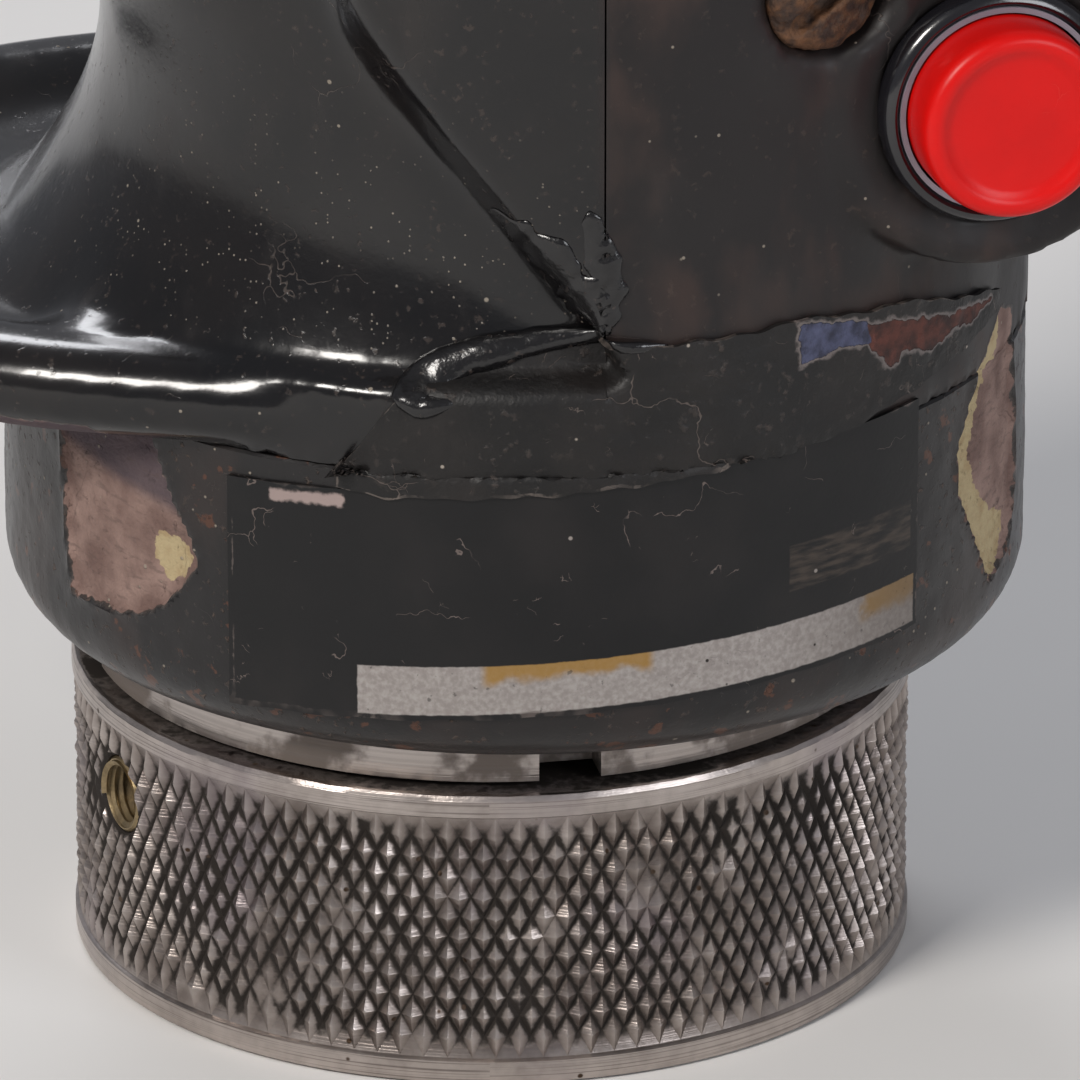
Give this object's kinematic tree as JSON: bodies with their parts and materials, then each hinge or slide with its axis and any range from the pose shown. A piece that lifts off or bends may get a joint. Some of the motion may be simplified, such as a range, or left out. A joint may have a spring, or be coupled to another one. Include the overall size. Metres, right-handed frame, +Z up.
{
  "type": "aircraft control stick grip",
  "caption": "Pilot's stick grip: knurled coupling ring, drum base with label plate, palm rest, two-part hand grip, thumb-controlled head, trigger and red push buttons.",
  "frame": {"origin": "centre of the coupling ring's threaded mouth, in the ring's lower face", "axes": "+Z up along the coupling's axis, -Y forward in the aircraft, +X the pilot's left"},
  "size_m": [0.0817, 0.0755, 0.1971],
  "materials": {
    "knurled_alloy": "turned and knurled, dirty",
    "turned_steel": "turned, stained",
    "brass": "dull",
    "spring_steel": "plain",
    "black_casting": "worn semi-gloss",
    "label_foil": "printed foil",
    "black_moulding": "worn gloss",
    "black_nylon": "matt",
    "bezel_black": "gloss",
    "button_red": "satin",
    "button_grey": "satin",
    "sleeve_grey": "satin",
    "rusty_steel": "rusted",
    "spine_alloy": "as cast",
    "rubber_seal": "matt",
    "connector_plastic": "moulded",
    "gold_contact": "plated",
    "wire_sleeve": "sleeved",
    "switch_body": "moulded",
    "zinc_screw": "plated, dull"
  },
  "bodies": {
    "grip": {"spigot_flange": "turned_steel", "flange_seal": "rubber_seal", "retaining_clip": "spring_steel", "friction_washer": "spring_steel", "base_housing": "black_casting", "data_label": "label_foil", "connector_shell": "turned_steel", "connector_insert": "connector_plastic", "connector_pins": "gold_contact", "spine_frame": "spine_alloy", "flange_screws": "zinc_screw", "right_shell": "black_moulding", "left_shell": "black_moulding", "shell_screws": "rusty_steel", "lower_bezel": "bezel_black", "lower_sleeve": "sleeve_grey", "lower_spring": "spring_steel", "lower_switch": "switch_body", "lower_lead": "wire_sleeve", "neck_gasket": "rubber_seal", "head_housing": "black_moulding", "head_cover": "black_moulding", "cover_screws": "zinc_screw", "head_screws": "zinc_screw", "release_bezel": "bezel_black", "release_spring": "spring_steel", "release_switch": "switch_body", "side_bezel": "bezel_black", "side_spring": "spring_steel", "side_switch": "switch_body", "terminal_block": "switch_body", "wiring_loom": "wire_sleeve", "trigger_pin": "turned_steel", "trigger_spring": "spring_steel", "trigger_switch": "switch_body", "trim_cup": "bezel_black", "trim_switch": "switch_body"},
    "ring": {"coupling_ring": "knurled_alloy", "set_screw_bush": "brass", "ring_set_screw": "brass"},
    "lower_button": {"lower_button": "button_red"},
    "release_button": {"release_button": "button_red"},
    "side_button": {"side_button": "button_grey"},
    "trigger": {"trigger": "black_nylon"},
    "trim_gimbal": {"trim_gimbal": "turned_steel"},
    "trim_hat": {"trim_hat": "black_nylon"}
  },
  "joints": [
    {"name": "ring_spin", "type": "hinge", "parent": "grip", "child": "ring", "pos_m": [0, 0, 0.009], "axis": [0, 0, 1], "continuous": true},
    {"name": "lower_button_press", "type": "slide", "parent": "grip", "child": "lower_button", "axis": [-0.2756, 0.9613, 0], "range_m": [0, 0.002], "stiffness_N_per_m": 1200, "springref_m": -0.001, "deforming": ["lower_spring"]},
    {"name": "release_button_press", "type": "slide", "parent": "grip", "child": "release_button", "axis": [0, -0.6219, -0.7831], "range_m": [0, 0.0015], "stiffness_N_per_m": 1200, "springref_m": -0.001, "deforming": ["release_spring"]},
    {"name": "side_button_press", "type": "slide", "parent": "grip", "child": "side_button", "axis": [-1, 0, 0], "range_m": [0, 0.0015], "stiffness_N_per_m": 1200, "springref_m": -0.001, "deforming": ["side_spring"]},
    {"name": "trigger_pull", "type": "hinge", "parent": "grip", "child": "trigger", "pos_m": [0.0048, -0.035, 0.1655], "axis": [1, 0, 0], "range_deg": [0, 10], "stiffness_Nm_per_rad": 0.6, "springref_deg": -5.73, "deforming": ["trigger_spring"]},
    {"name": "trim_pitch", "type": "hinge", "parent": "grip", "child": "trim_gimbal", "pos_m": [-0.0002, -0.00077, 0.1819], "axis": [1, 0, 0], "range_deg": [-10, 10], "stiffness_Nm_per_rad": 0.05},
    {"name": "trim_roll", "type": "hinge", "parent": "trim_gimbal", "child": "trim_hat", "pos_m": [-0.0002, -0.00077, 0.1819], "axis": [0, 0.7831, -0.6219], "range_deg": [-10, 10], "stiffness_Nm_per_rad": 0.05}
  ]
}
